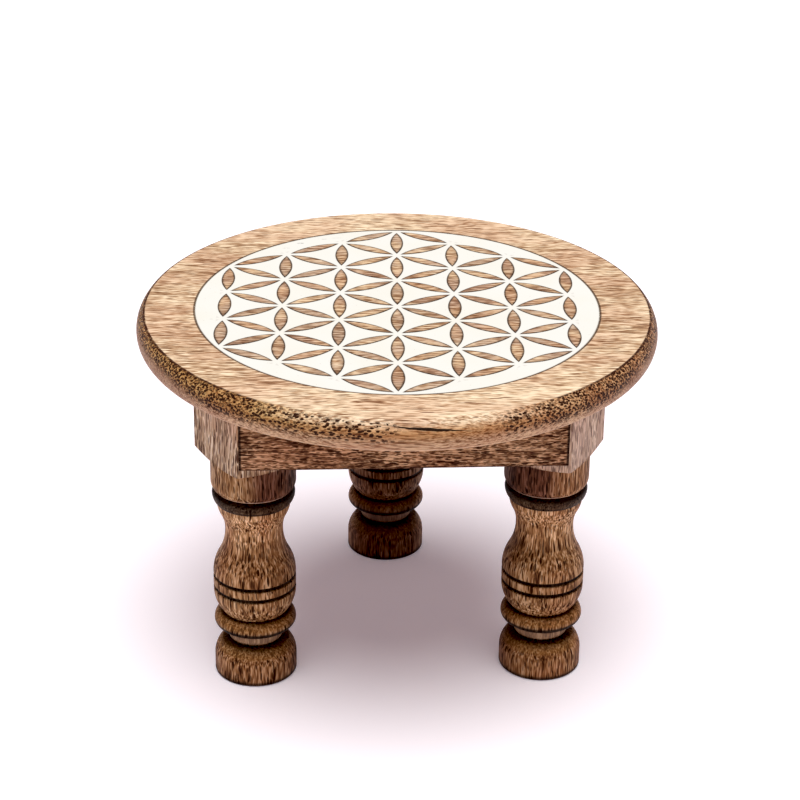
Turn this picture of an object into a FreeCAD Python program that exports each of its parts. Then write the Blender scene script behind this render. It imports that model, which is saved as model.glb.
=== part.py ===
import FreeCAD
import Part
import math
import os

# Low round table: an inlaid top on a triangular frame of three rails and three turned legs.
# Lengths are in millimetres and angles in degrees.
# The origin is on the floor under the centre of the top and +Z is up.
# The back leg stands towards +Y and the front rail faces -Y.

# Whole table, with the axis of each leg LEG_INSET in from the rim of the top
TABLE_HEIGHT = 175.0
LEG_COUNT = 3
LEG_INSET = 44.0
BACK_LEG_ANGLE = 90.0
FRONT_RAIL_ANGLE = 270.0
OVERRUN = 2.0

# Top board, with a rounded rim that is widest about half way down
TOP_DIAMETER = 250.0
TOP_THICKNESS = 16.0
TOP_TURN = -3.0
RIM_WIDEST_DEPTH = 8.5
RIM_TOP_INSET = 3.8
RIM_UNDER_INSET = 4.0
RIM_TOP_ARRIS = 1.2

# Petal lattice in the top: petals of the board's wood, left standing in a round pocket.
# A border of plain wood lies round the pocket, and a margin of white round the lattice.
BORDER_WIDTH = 28.0
LATTICE_MARGIN = 1.3
LATTICE_RINGS = 3
LATTICE_ANGLE = 60.0
PETAL_INSET = 1.3
POCKET_DEPTH = 1.6

# White fill of the pocket, parted from the wood by a narrow scorched groove
INLAY_DROP = 0.1
SCORCH_WIDTH = 0.3

# Square block at the top of each leg, and the shoulder that the lathe leaves under its corners
LEG_STOCK = 40.9
BLOCK_HEIGHT = 40.0
BLOCK_ARRIS = 0.8
SHOULDER_HEIGHT = 2.0

# Turned part of a leg, from the floor up
LEG_RADIUS = 20.0
FOOT_EDGE = 1.0
FOOT_SIDE_HEIGHT = 8.0
FOOT_SHOULDER_HEIGHT = 8.6
FOOT_SHOULDER_RADIUS = 16.2
FOOT_TOP_RISE = 1.0
BEAD_CORE_RADIUS = 12.4
BEAD_BULGE = 1.2
BEAD_HEIGHT = 7.0
DISC_EDGE_RADIUS = 18.6
DISC_RADIUS = 19.9
DISC_UNDER_RISE = 0.8
DISC_LOWER_HEIGHT = 2.6
DISC_UPPER_HEIGHT = 4.8
BOWL_FOOT_RADIUS = 15.2
BOWL_HEIGHT = 12.0
GROOVE_WIDTH = 2.4
GROOVE_DEPTH = 0.9
BELLY_MARGIN = 0.6
BAND_HEIGHT = 3.6
VASE_HEIGHT = 23.2
VASE_TURN_SHARE = 0.44
NECK_RADIUS = 13.9
NECK_HEIGHT = 0.8
FLARE_HEIGHT = 14.8
FLARE_RADIUS = 17.7
FLARE_TURN_SHARE = 0.58
RING_FOOT_RADIUS = 18.2
RING_RADIUS = 19.9
RING_TOP_RADIUS = 19.0
RING_LOWER_HEIGHT = 4.6
RING_UPPER_HEIGHT = 1.8
QUIRK_HEIGHT = 0.6
COLLAR_EDGE_RADIUS = 18.5
COLLAR_EDGE_HEIGHT = 4.2
COLLAR_RADIUS = 20.4

# Rails of the frame, bevelled at both ends to lie flat on the leg blocks
RAIL_THICKNESS = 19.0
RAIL_HEIGHT = 36.5
RAIL_SETBACK = 0.5
RAIL_ARRIS = 0.8

# Dowels along each rail, two in every joint with a leg block
DOWEL_DIAMETER = 8.0
DOWEL_LENGTH = 30.0
DOWEL_IN_BLOCK = 12.0
DOWEL_CHAMFER = 0.8
DOWEL_CLEARANCE = 0.1
DOWEL_END_ROOM = 1.0
DOWEL_LOWER_HEIGHT = 9.0
DOWEL_SPACING = 17.0

# Countersunk wood screws, up through each rail into the top board
SCREW_DIAMETER = 4.0
SCREW_LENGTH = 40.0
SCREW_POINT = 3.0
SCREW_POINT_RADIUS = 0.4
SCREW_CLEARANCE = 0.1
SCREW_FROM_DOWELS = 14.2
HEAD_DIAMETER = 8.0
HEAD_HEIGHT = 2.2
CROSS_LENGTH = 4.6
CROSS_WIDTH = 0.9
CROSS_DEPTH = 1.2
COUNTERBORE_DIAMETER = 9.5
COUNTERBORE_DEPTH = 7.0

ORIGIN = FreeCAD.Vector(0, 0, 0)
UP = FreeCAD.Vector(0, 0, 1)
FULL_TURN = 360.0

# Sizes that follow from the ones above
TOP_RADIUS = TOP_DIAMETER / 2
LEG_CIRCLE_RADIUS = TOP_RADIUS - LEG_INSET
POCKET_RADIUS = TOP_RADIUS - BORDER_WIDTH
LATTICE_STEP = (POCKET_RADIUS - LATTICE_MARGIN) / LATTICE_RINGS
UNDERSIDE = TABLE_HEIGHT - TOP_THICKNESS
POCKET_FLOOR = TABLE_HEIGHT - POCKET_DEPTH
HALF_STOCK = LEG_STOCK / 2
BLOCK_CORNER_RADIUS = HALF_STOCK * math.sqrt(2)
BLOCK_FOOT = UNDERSIDE - BLOCK_HEIGHT
LEG_SPREAD = FULL_TURN / LEG_COUNT
HALF_SPREAD = math.radians(LEG_SPREAD / 2)
RAIL_FACE = (
    math.cos(HALF_SPREAD) * (LEG_CIRCLE_RADIUS + HALF_STOCK)
    + math.sin(HALF_SPREAD) * HALF_STOCK
    - RAIL_SETBACK
)
RAIL_BACK = RAIL_FACE - RAIL_THICKNESS
RAIL_MIDDLE = RAIL_FACE - RAIL_THICKNESS / 2
RAIL_FOOT = UNDERSIDE - RAIL_HEIGHT


class Outline:
    """Half section in the XZ plane, drawn upwards from one (radius, height) point to the next."""

    def __init__(self, radius, height):
        self.first = FreeCAD.Vector(radius, 0, height)
        self.here = self.first
        self.edges = []

    def line_to(self, radius, height):
        target = FreeCAD.Vector(radius, 0, height)
        self.edges.append(Part.LineSegment(self.here, target).toShape())
        self.here = target

    def bow_to(self, radius, height, bulge):
        """An arc whose middle stands outside its chord by bulge, or inside it where bulge is negative."""
        target = FreeCAD.Vector(radius, 0, height)
        chord = target - self.here
        outwards = FreeCAD.Vector(chord.z, 0, -chord.x).normalize()
        middle = (self.here + target) / 2 + outwards * bulge
        self.edges.append(Part.Arc(self.here, middle, target).toShape())
        self.here = target

    def upright_bulge(self, radius, height):
        """Bulge of an arc that is upright at one end and leans the chord's way from there."""
        run = radius - self.here.x
        rise = height - self.here.z
        return math.hypot(run, rise) / 2 * math.tan(math.atan2(run, rise) / 2)

    def from_upright_to(self, radius, height):
        """An arc that leaves this point upright."""
        self.bow_to(radius, height, -self.upright_bulge(radius, height))

    def to_upright_at(self, radius, height):
        """An arc that arrives upright."""
        self.bow_to(radius, height, self.upright_bulge(radius, height))

    def ogee_to(self, radius, height, turn_share):
        """A double curve, upright at both ends, that turns over at turn_share of its height."""
        turn_radius = self.here.x + (radius - self.here.x) * turn_share
        turn_height = self.here.z + (height - self.here.z) * turn_share
        self.from_upright_to(turn_radius, turn_height)
        self.to_upright_at(radius, height)

    def revolved(self):
        """The solid that this section sweeps about the Z axis."""
        self.line_to(0, self.here.z)
        self.line_to(0, self.first.z)
        self.line_to(self.first.x, self.first.z)
        return Part.Face(Part.Wire(self.edges)).revolve(ORIGIN, UP, FULL_TURN)


def on_circle(radius, angle, height):
    """The point at this radius, angle and height."""
    turn = math.radians(angle)
    return FreeCAD.Vector(radius * math.cos(turn), radius * math.sin(turn), height)


def turned(shape, angle):
    """A copy of the shape, turned about the table's upright axis."""
    return shape.rotated(ORIGIN, UP, angle)


def prism(points, height, rise):
    """An upright prism on a polygon of (x, y) points."""
    corners = [FreeCAD.Vector(x, y, height) for x, y in points]
    corners.append(corners[0])
    return Part.Face(Part.makePolygon(corners)).extrude(UP * rise)


def lattice_edges():
    """Middle and direction of every lattice edge, for a hexagon of triangles with one corner towards -Y."""
    first = on_circle(LATTICE_STEP, BACK_LEG_ANGLE, 0)
    second = on_circle(LATTICE_STEP, BACK_LEG_ANGLE - LATTICE_ANGLE, 0)
    span = range(-LATTICE_RINGS, LATTICE_RINGS + 1)
    corners = [(i, j) for i in span for j in span if abs(i + j) <= LATTICE_RINGS]
    edges = []
    for i, j in corners:
        for step_i, step_j in ((1, 0), (0, 1), (-1, 1)):
            if (i + step_i, j + step_j) in corners:
                step = first * step_i + second * step_j
                edges.append((first * i + second * j + step / 2, step / LATTICE_STEP))
    return edges


def petals(grow, height, rise):
    """All petals of the lattice as prisms. Two arcs about the neighbouring corners bound each petal."""
    centre_distance = LATTICE_STEP * math.sin(math.radians(LATTICE_ANGLE))
    arc_radius = LATTICE_STEP - PETAL_INSET + grow
    half_length = math.sqrt(arc_radius**2 - centre_distance**2)
    half_width = arc_radius - centre_distance
    prisms = []
    for middle, along in lattice_edges():
        across = UP.cross(along)
        base = middle + UP * height
        tip = base + along * half_length
        heel = base - along * half_length
        left = Part.Arc(heel, base + across * half_width, tip).toShape()
        right = Part.Arc(tip, base - across * half_width, heel).toShape()
        prisms.append(Part.Face(Part.Wire([left, right])).extrude(UP * rise))
    return prisms


def make_board():
    """The top board with its rounded rim and its pocket, and with the petals left standing."""
    rim = Outline(TOP_RADIUS - RIM_UNDER_INSET, UNDERSIDE)
    rim.to_upright_at(TOP_RADIUS, TABLE_HEIGHT - RIM_WIDEST_DEPTH)
    rim.from_upright_to(TOP_RADIUS - RIM_TOP_INSET, TABLE_HEIGHT)
    board = rim.revolved()
    lowest = TABLE_HEIGHT - RIM_TOP_ARRIS
    top_edges = [edge for edge in board.Edges if edge.isClosed() and edge.BoundBox.ZMin > lowest]
    board = board.makeFillet(RIM_TOP_ARRIS, top_edges)
    pocket = Part.makeCylinder(POCKET_RADIUS, POCKET_DEPTH + OVERRUN, UP * POCKET_FLOOR)
    pocket = pocket.cut(petals(0, POCKET_FLOOR - OVERRUN, POCKET_DEPTH + 3 * OVERRUN))
    return turned(board.cut(pocket), TOP_TURN)


def make_inlay():
    """The white fill: a thin disc with a hole around every petal."""
    thickness = POCKET_DEPTH - INLAY_DROP
    disc = Part.makeCylinder(POCKET_RADIUS - SCORCH_WIDTH, thickness, UP * POCKET_FLOOR)
    holes = petals(SCORCH_WIDTH, POCKET_FLOOR - OVERRUN, thickness + 2 * OVERRUN)
    return turned(disc.cut(holes), TOP_TURN)


def leg_outline():
    """Half section of a leg from the floor to the top of its block, before the block's sides are cut."""
    section = Outline(LEG_RADIUS - FOOT_EDGE, 0)
    section.to_upright_at(LEG_RADIUS, FOOT_EDGE)
    height = FOOT_EDGE + FOOT_SIDE_HEIGHT
    section.line_to(LEG_RADIUS, height)
    height += FOOT_SHOULDER_HEIGHT
    section.from_upright_to(FOOT_SHOULDER_RADIUS, height)
    height += FOOT_TOP_RISE
    section.line_to(BEAD_CORE_RADIUS, height)

    height += BEAD_HEIGHT
    section.bow_to(BEAD_CORE_RADIUS, height, BEAD_BULGE)
    height += DISC_UNDER_RISE
    section.line_to(DISC_EDGE_RADIUS, height)
    height += DISC_LOWER_HEIGHT
    section.to_upright_at(DISC_RADIUS, height)
    height += DISC_UPPER_HEIGHT
    section.from_upright_to(BOWL_FOOT_RADIUS, height)

    height += BOWL_HEIGHT
    section.to_upright_at(LEG_RADIUS, height)
    height += BELLY_MARGIN
    section.line_to(LEG_RADIUS, height)
    height += GROOVE_WIDTH
    section.bow_to(LEG_RADIUS, height, -GROOVE_DEPTH)
    height += BAND_HEIGHT
    section.line_to(LEG_RADIUS, height)
    height += GROOVE_WIDTH
    section.bow_to(LEG_RADIUS, height, -GROOVE_DEPTH)

    height += VASE_HEIGHT
    section.ogee_to(NECK_RADIUS, height, VASE_TURN_SHARE)
    height += NECK_HEIGHT
    section.line_to(NECK_RADIUS, height)
    height += FLARE_HEIGHT
    section.ogee_to(FLARE_RADIUS, height, FLARE_TURN_SHARE)

    section.line_to(RING_FOOT_RADIUS, height)
    height += RING_LOWER_HEIGHT
    section.to_upright_at(RING_RADIUS, height)
    height += RING_UPPER_HEIGHT
    section.from_upright_to(RING_TOP_RADIUS, height)
    height += QUIRK_HEIGHT
    section.line_to(COLLAR_EDGE_RADIUS, height)
    height += COLLAR_EDGE_HEIGHT
    section.to_upright_at(COLLAR_RADIUS, height)

    section.line_to(COLLAR_RADIUS, BLOCK_FOOT - SHOULDER_HEIGHT)
    slope = SHOULDER_HEIGHT / (BLOCK_CORNER_RADIUS - COLLAR_RADIUS)
    section.line_to(BLOCK_CORNER_RADIUS + OVERRUN, BLOCK_FOOT + OVERRUN * slope)
    section.line_to(BLOCK_CORNER_RADIUS + OVERRUN, UNDERSIDE)
    return section


def make_leg(angle, dowel_holes):
    """One turned leg with its square block, at this angle about the table's axis."""
    square = Part.makeBox(
        LEG_STOCK,
        LEG_STOCK,
        UNDERSIDE + 2 * OVERRUN,
        FreeCAD.Vector(-HALF_STOCK, -HALF_STOCK, -OVERRUN),
    )
    upright_edges = [edge for edge in square.Edges if edge.Length > UNDERSIDE]
    square = square.makeFillet(BLOCK_ARRIS, upright_edges)
    leg = leg_outline().revolved().common(square)
    leg.translate(FreeCAD.Vector(LEG_CIRCLE_RADIUS, 0, 0))
    return turned(leg, angle).cut(dowel_holes)


def rail_end(distance):
    """Half the front rail's length, at this distance from the table's axis towards the rail."""
    return distance / math.tan(math.pi / 2 - HALF_SPREAD) - LEG_STOCK


def make_rail(angle, holes):
    """One rail, drawn as the front rail and turned to this angle."""
    blank = Part.makeBox(
        2 * rail_end(RAIL_FACE),
        RAIL_THICKNESS,
        RAIL_HEIGHT + OVERRUN,
        FreeCAD.Vector(-rail_end(RAIL_FACE), -RAIL_FACE, RAIL_FOOT),
    )
    long_edges = [
        edge
        for edge in blank.Edges
        if edge.BoundBox.ZMax < UNDERSIDE and edge.BoundBox.XLength > RAIL_THICKNESS
    ]
    blank = blank.makeFillet(RAIL_ARRIS, long_edges)
    bevelled = prism(
        [
            (-rail_end(RAIL_FACE), -RAIL_FACE),
            (rail_end(RAIL_FACE), -RAIL_FACE),
            (rail_end(RAIL_BACK), -RAIL_BACK),
            (-rail_end(RAIL_BACK), -RAIL_BACK),
        ],
        RAIL_FOOT,
        RAIL_HEIGHT,
    )
    return turned(blank.common(bevelled), angle - FRONT_RAIL_ANGLE).cut(holes)


def dowel_start():
    """Distance from a rail's middle to the end of its dowels inside the block."""
    return rail_end(RAIL_MIDDLE) + DOWEL_IN_BLOCK


def dowel_places():
    """Start point and rail angle of every dowel. Each runs from inside a block into the rail."""
    places = []
    for rail in range(LEG_COUNT):
        for side in (-1, 1):
            for level in (0, 1):
                height = RAIL_FOOT + DOWEL_LOWER_HEIGHT + level * DOWEL_SPACING
                point = FreeCAD.Vector(side * dowel_start(), -RAIL_MIDDLE, height)
                places.append((point, side, rail * LEG_SPREAD))
    return places


def along_rail(shape, point, side, angle):
    """A shape drawn up the Z axis, laid along its rail from the point towards the rail's middle."""
    laid = shape.rotated(ORIGIN, FreeCAD.Vector(0, 1, 0), -side * FULL_TURN / 4)
    laid.translate(point)
    return turned(laid, angle)


def make_dowels():
    """All dowels, each a short rod with chamfered ends."""
    rod = Part.makeCylinder(DOWEL_DIAMETER / 2, DOWEL_LENGTH)
    ends = [edge for edge in rod.Edges if edge.BoundBox.ZLength < DOWEL_CHAMFER]
    rod = rod.makeChamfer(DOWEL_CHAMFER, ends)
    return [along_rail(rod, *place) for place in dowel_places()]


def make_dowel_holes():
    """A bore around every dowel, with room at both ends."""
    bore = Part.makeCylinder(
        DOWEL_DIAMETER / 2 + DOWEL_CLEARANCE,
        DOWEL_LENGTH + 2 * DOWEL_END_ROOM,
        UP * -DOWEL_END_ROOM,
    )
    return [along_rail(bore, *place) for place in dowel_places()]


def screw_places():
    """Head place and turn of every screw, two in each rail."""
    along = dowel_start() - DOWEL_LENGTH - SCREW_FROM_DOWELS
    height = RAIL_FOOT + COUNTERBORE_DEPTH
    places = []
    for rail in range(LEG_COUNT):
        for side in (-1, 1):
            places.append((FreeCAD.Vector(side * along, -RAIL_MIDDLE, height), rail * LEG_SPREAD))
    return places


def screw_outline(grow):
    """Half section of a screw, head down, grown sideways by grow."""
    section = Outline(HEAD_DIAMETER / 2 + grow, 0)
    section.line_to(SCREW_DIAMETER / 2 + grow, HEAD_HEIGHT)
    section.line_to(SCREW_DIAMETER / 2 + grow, SCREW_LENGTH - SCREW_POINT)
    section.line_to(SCREW_POINT_RADIUS + grow, SCREW_LENGTH + grow)
    return section


def make_screws():
    """All screws, each with a crossed slot in its head."""
    slot = Part.makeBox(
        CROSS_LENGTH,
        CROSS_WIDTH,
        CROSS_DEPTH + OVERRUN,
        FreeCAD.Vector(-CROSS_LENGTH / 2, -CROSS_WIDTH / 2, -OVERRUN),
    )
    screw = screw_outline(0).revolved().cut([slot, turned(slot, FULL_TURN / 4)])
    screws = []
    for place, angle in screw_places():
        moved = screw.copy()
        moved.translate(place)
        screws.append(turned(moved, angle))
    return screws


def make_screw_holes():
    """The counterbore, countersink and bore of every screw."""
    counterbore = Part.makeCylinder(
        COUNTERBORE_DIAMETER / 2, COUNTERBORE_DEPTH + OVERRUN, UP * -(COUNTERBORE_DEPTH + OVERRUN)
    )
    bore = screw_outline(SCREW_CLEARANCE).revolved().fuse(counterbore).removeSplitter()
    holes = []
    for place, angle in screw_places():
        moved = bore.copy()
        moved.translate(place)
        holes.append(turned(moved, angle))
    return holes


def write(name, shape):
    """Writes one node's STEP file."""
    shape.exportStep(os.path.join("parts", name + ".step"))


def main():
    os.makedirs("parts", exist_ok=True)
    dowel_holes = make_dowel_holes()
    screw_holes = make_screw_holes()
    leg_names = ("leg_back", "leg_front_left", "leg_front_right")
    rail_names = ("apron_front", "apron_right", "apron_left")
    write("top_board", make_board().cut(screw_holes))
    write("inlay", make_inlay())
    for number in range(LEG_COUNT):
        turn = number * LEG_SPREAD
        write(leg_names[number], make_leg(BACK_LEG_ANGLE + turn, dowel_holes))
        write(rail_names[number], make_rail(FRONT_RAIL_ANGLE + turn, dowel_holes + screw_holes))
    write("apron_dowels", Part.makeCompound(make_dowels()))
    write("top_screws", Part.makeCompound(make_screws()))


main()
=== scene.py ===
"""Finishes, floor, light and camera for the low round table, in metres unless a name or comment says mm."""

import math

import bpy
from mathutils import Matrix, Vector


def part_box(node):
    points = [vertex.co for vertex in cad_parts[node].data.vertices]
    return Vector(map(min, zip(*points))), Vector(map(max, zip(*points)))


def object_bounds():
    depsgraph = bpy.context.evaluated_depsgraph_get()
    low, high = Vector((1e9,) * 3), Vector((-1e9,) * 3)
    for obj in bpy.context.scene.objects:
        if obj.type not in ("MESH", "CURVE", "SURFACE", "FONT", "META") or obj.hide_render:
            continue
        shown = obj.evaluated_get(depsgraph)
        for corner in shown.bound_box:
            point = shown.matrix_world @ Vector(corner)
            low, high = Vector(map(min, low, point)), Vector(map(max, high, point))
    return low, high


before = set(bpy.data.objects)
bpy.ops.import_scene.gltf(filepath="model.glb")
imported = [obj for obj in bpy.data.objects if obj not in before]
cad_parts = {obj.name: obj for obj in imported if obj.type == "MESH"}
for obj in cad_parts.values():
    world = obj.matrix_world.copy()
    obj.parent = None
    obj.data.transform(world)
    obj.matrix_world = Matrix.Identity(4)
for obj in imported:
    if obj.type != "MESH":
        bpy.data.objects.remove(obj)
cad_low, cad_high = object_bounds()

MM = 0.001

# Camera, from a fit to the petal lattice
CAMERA_PLACE = Vector((-0.0667, -1.0744, 0.6496))
CAMERA_RIGHT = Vector((0.9983, -0.0578, 0.0121))
CAMERA_UP = Vector((0.0145, 0.4380, 0.8989))
CAMERA_LENS_MM = 110.256
CAMERA_SENSOR_MM = 36.0

# Studio: one broad soft light overhead, a dim tinted surround and a pale floor that glows faintly
FLOOR_SIZE = 12.0
FLOOR_DROP = 0.0001
FLOOR_GLOW = 0.16
FLOOR_ROUGHNESS = 0.9
FLOOR_SPECULAR = 0.1
KEY_FROM = Vector((0.0, -0.12, 1.0))
KEY_SPREAD = math.radians(54)
KEY_STRENGTH = 3.4
SURROUND_COLOUR = (1.0, 0.81, 0.93, 1.0)
SURROUND_STRENGTH = 0.2
BLACK_POINT = 0.006

# How the top lies, seen from above: its grain and its petal lattice
TOP_GRAIN_ANGLE = math.radians(-3)
TOP_TURN = math.radians(-3)

# Sizes of the top, and how far in from its rim the flat face ends
TOP_RADIUS_MM = (cad_high.x - cad_low.x) / 2 / MM
TOP_HEIGHT_MM = cad_high.z / MM
UNDERSIDE_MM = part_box("top_board")[0].z / MM
POCKET_RADIUS_MM = (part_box("inlay")[1].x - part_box("inlay")[0].x) / 2 / MM
RIM_FLAT_MM = 4.6

# Petal lattice: its rings, the margin of white round it, how far a petal's arcs stay inside the step,
# the dark gap between petals and fill, and the directions of its rows
LATTICE_RINGS = 3
LATTICE_MARGIN_MM = 1.3
PETAL_INSET_MM = 1.3
SCORCH_GAP_MM = 0.3
ROW_DIRECTIONS = (math.radians(30), math.radians(90), math.radians(150))
LATTICE_STEP_MM = (POCKET_RADIUS_MM + SCORCH_GAP_MM - LATTICE_MARGIN_MM) / LATTICE_RINGS
LATTICE_ROW_MM = LATTICE_STEP_MM * math.sin(math.radians(60))
PETAL_ARC_MM = LATTICE_STEP_MM - PETAL_INSET_MM
LATTICE_EDGE_MM = LATTICE_RINGS * LATTICE_ROW_MM + PETAL_ARC_MM - LATTICE_ROW_MM

# A rail: its outer face, its end, its foot, the slope of its bevelled end and the dark joint line there
RAIL_FACE_MM = -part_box("apron_front")[0].y / MM
RAIL_END_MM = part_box("apron_front")[1].x / MM
RAIL_FOOT_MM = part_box("apron_front")[0].z / MM
BEVEL_SLOPE = math.tan(math.radians(60))
SEAM_WIDTH_MM = 0.8

# Leg heights in millimetres from the floor
BLOCK_FOOT_MM = 119.0
SHOULDER_FOOT_MM = 117.0
COLLAR_FOOT_MM = 100.6


def srgb(red, green, blue):
    """A colour given in 0 to 255 screen values, as the linear colour that a shader takes."""
    linear = []
    for value in (red, green, blue):
        share = value / 255
        linear.append(share / 12.92 if share <= 0.04045 else ((share + 0.055) / 1.055) ** 2.4)
    return (*linear, 1.0)


FLOOR_COLOUR = srgb(252, 249, 252)
FLOOR_GLOW_COLOUR = srgb(252, 238, 251)

# The middle of what a noise texture gives, and how many rays look for a sharp edge
NOISE_MIDDLE = 0.5
EDGE_RAYS = 6


class Finish:
    """A node material under construction. Its places are in millimetres of the row frame."""

    def __init__(self, name):
        self.material = bpy.data.materials.new(name)
        self.material.use_nodes = True
        self.tree = self.material.node_tree
        self.shader = self.tree.nodes["Principled BSDF"]
        coordinates = self.add("ShaderNodeTexCoord")
        self.place = self.vector("SCALE", coordinates.outputs["Object"], scale=1 / MM)
        self.x, self.y, self.z = self.parts(self.place)
        flat = self.joined(self.x, self.y, 0.0)
        self.radius = self.vector("LENGTH", flat)

    def add(self, kind, **settings):
        node = self.tree.nodes.new(kind)
        for name, value in settings.items():
            setattr(node, name, value)
        return node

    def feed(self, socket, value):
        """Links the socket to another one, or sets its value."""
        if isinstance(value, bpy.types.NodeSocket):
            self.tree.links.new(value, socket)
        else:
            socket.default_value = value

    def math(self, operation, *values):
        node = self.add("ShaderNodeMath", operation=operation)
        for socket, value in zip(node.inputs, values):
            self.feed(socket, value)
        return node.outputs[0]

    def times(self, *values):
        product = values[0]
        for value in values[1:]:
            product = self.math("MULTIPLY", product, value)
        return product

    def unsigned(self, value):
        return self.math("ABSOLUTE", value)

    def opposite(self, share):
        """1 where the share is 0, and 0 where it is 1."""
        return self.math("SUBTRACT", 1.0, share)

    def level(self, share, low, high):
        """Low where the share is 0, and high where it is 1."""
        return self.math("MULTIPLY_ADD", share, high - low, low)

    def vector(self, operation, first, second=None, scale=None):
        node = self.add("ShaderNodeVectorMath", operation=operation)
        self.feed(node.inputs[0], first)
        if second is not None:
            self.feed(node.inputs[1], second)
        if scale is not None:
            self.feed(node.inputs["Scale"], scale)
        single = operation in ("LENGTH", "DOT_PRODUCT")
        return node.outputs["Value" if single else "Vector"]

    def parts(self, vector):
        node = self.add("ShaderNodeSeparateXYZ")
        self.feed(node.inputs[0], vector)
        return node.outputs[0], node.outputs[1], node.outputs[2]

    def joined(self, x, y, z):
        node = self.add("ShaderNodeCombineXYZ")
        for socket, value in zip(node.inputs, (x, y, z)):
            self.feed(socket, value)
        return node.outputs[0]

    def turned(self, angle):
        """X, Y and Z of the place after a turn about Z."""
        node = self.add("ShaderNodeVectorRotate", rotation_type="Z_AXIS")
        self.feed(node.inputs["Vector"], self.place)
        self.feed(node.inputs["Angle"], angle)
        return self.parts(node.outputs[0])

    def step(self, value, low, high):
        """0 below low and 1 above high, rising smoothly between, or falling where low is above high."""
        node = self.add("ShaderNodeMapRange", interpolation_type="SMOOTHSTEP")
        if low <= high:
            sizes = (low, high, 0.0, 1.0)
        else:
            sizes = (high, low, 1.0, 0.0)
        self.feed(node.inputs["Value"], value)
        for name, size in zip(("From Min", "From Max", "To Min", "To Max"), sizes):
            self.feed(node.inputs[name], size)
        return node.outputs["Result"]

    def between(self, value, low, high, soft):
        """1 between low and high, falling to 0 over soft on both sides."""
        return self.times(self.step(value, low - soft, low), self.step(value, high + soft, high))

    def mix(self, share, first, second, blend="MIX"):
        node = self.add("ShaderNodeMix", data_type="RGBA", blend_type=blend, clamp_factor=True)
        self.feed(node.inputs["Factor"], share)
        self.feed(node.inputs["A"], first)
        self.feed(node.inputs["B"], second)
        return [s for s in node.outputs if s.type == "RGBA"][0]

    def tinted(self, share, colour, tint):
        """The colour multiplied by the tint, as far as the share says."""
        return self.mix(share, colour, tint, "MULTIPLY")

    def scaled(self, share, colour, factors):
        """The colour with its channels multiplied by the factors, as far as the share says."""
        return self.mix(share, colour, self.vector("MULTIPLY", colour, factors))

    def coated(self, colour, share, strength, coat):
        """The colour under a coat of another colour, this strong where the share is 1."""
        return self.mix(self.times(share, strength), colour, coat)

    def noise(self, place, across, along, detail=2.0, roughness=0.5, output=0):
        """Noise whose lumps are this wide and long, with their length along Z of the place."""
        node = self.add("ShaderNodeTexNoise", noise_dimensions="3D")
        size = (1 / across, 1 / across, 1 / along)
        self.feed(node.inputs["Vector"], self.vector("MULTIPLY", place, size))
        self.feed(node.inputs["Scale"], 1.0)
        self.feed(node.inputs["Detail"], detail)
        self.feed(node.inputs["Roughness"], roughness)
        return node.outputs[output]

    def patches(self, lump, detail, low, high, roughness=0.5):
        """1 in patches and 0 between, where noise with round lumps rises from low to high."""
        return self.step(self.noise(self.place, lump, lump, detail, roughness), low, high)

    def spindles(self, place, across, along, thickness, soft):
        """Slim spindles along Z, one in each cell that is across wide and along long."""
        node = self.add("ShaderNodeTexVoronoi", voronoi_dimensions="3D", feature="F1")
        size = (1 / across, 1 / across, 1 / along)
        self.feed(node.inputs["Vector"], self.vector("MULTIPLY", place, size))
        self.feed(node.inputs["Scale"], 1.0)
        self.feed(node.inputs["Randomness"], 1.0)
        return self.step(node.outputs["Distance"], thickness + soft, thickness)

    def tones(self, value, stops):
        """A colour for each value, through (place, colour) stops."""
        node = self.add("ShaderNodeValToRGB")
        self.feed(node.inputs[0], value)
        elements = node.color_ramp.elements
        while len(elements) < len(stops):
            elements.new(1.0)
        for element, (place, colour) in zip(elements, stops):
            element.position = place
            element.color = colour
        return node.outputs[0]

    def ramp(self, value, stops):
        """A curve through (place, level) stops, level before the first and after the last."""
        low = stops[0][0]
        length = stops[-1][0] - low
        share = self.math("DIVIDE", self.math("SUBTRACT", value, low), length)
        greys = [((place - low) / length, (level, level, level, 1.0)) for place, level in stops]
        return self.tones(share, greys)

    def edges(self, radius_mm, low, high):
        """1 along sharp edges and 0 a radius away from them."""
        bevel = self.add("ShaderNodeBevel", samples=EDGE_RAYS)
        self.feed(bevel.inputs["Radius"], radius_mm * MM)
        geometry = self.add("ShaderNodeNewGeometry")
        likeness = self.vector("DOT_PRODUCT", bevel.outputs["Normal"], geometry.outputs["Normal"])
        return self.step(self.opposite(likeness), low, high)

    def finish(self, colour, roughness, relief, relief_mm, specular=0.5):
        """Connects the shader and returns the material."""
        self.feed(self.shader.inputs["Base Color"], colour)
        self.feed(self.shader.inputs["Roughness"], roughness)
        self.feed(self.shader.inputs["Specular IOR Level"], specular)
        bump = self.add("ShaderNodeBump")
        self.feed(bump.inputs["Strength"], 1.0)
        self.feed(bump.inputs["Distance"], relief_mm * MM)
        self.feed(bump.inputs["Height"], relief)
        self.feed(self.shader.inputs["Normal"], bump.outputs["Normal"])
        return self.material


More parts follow.
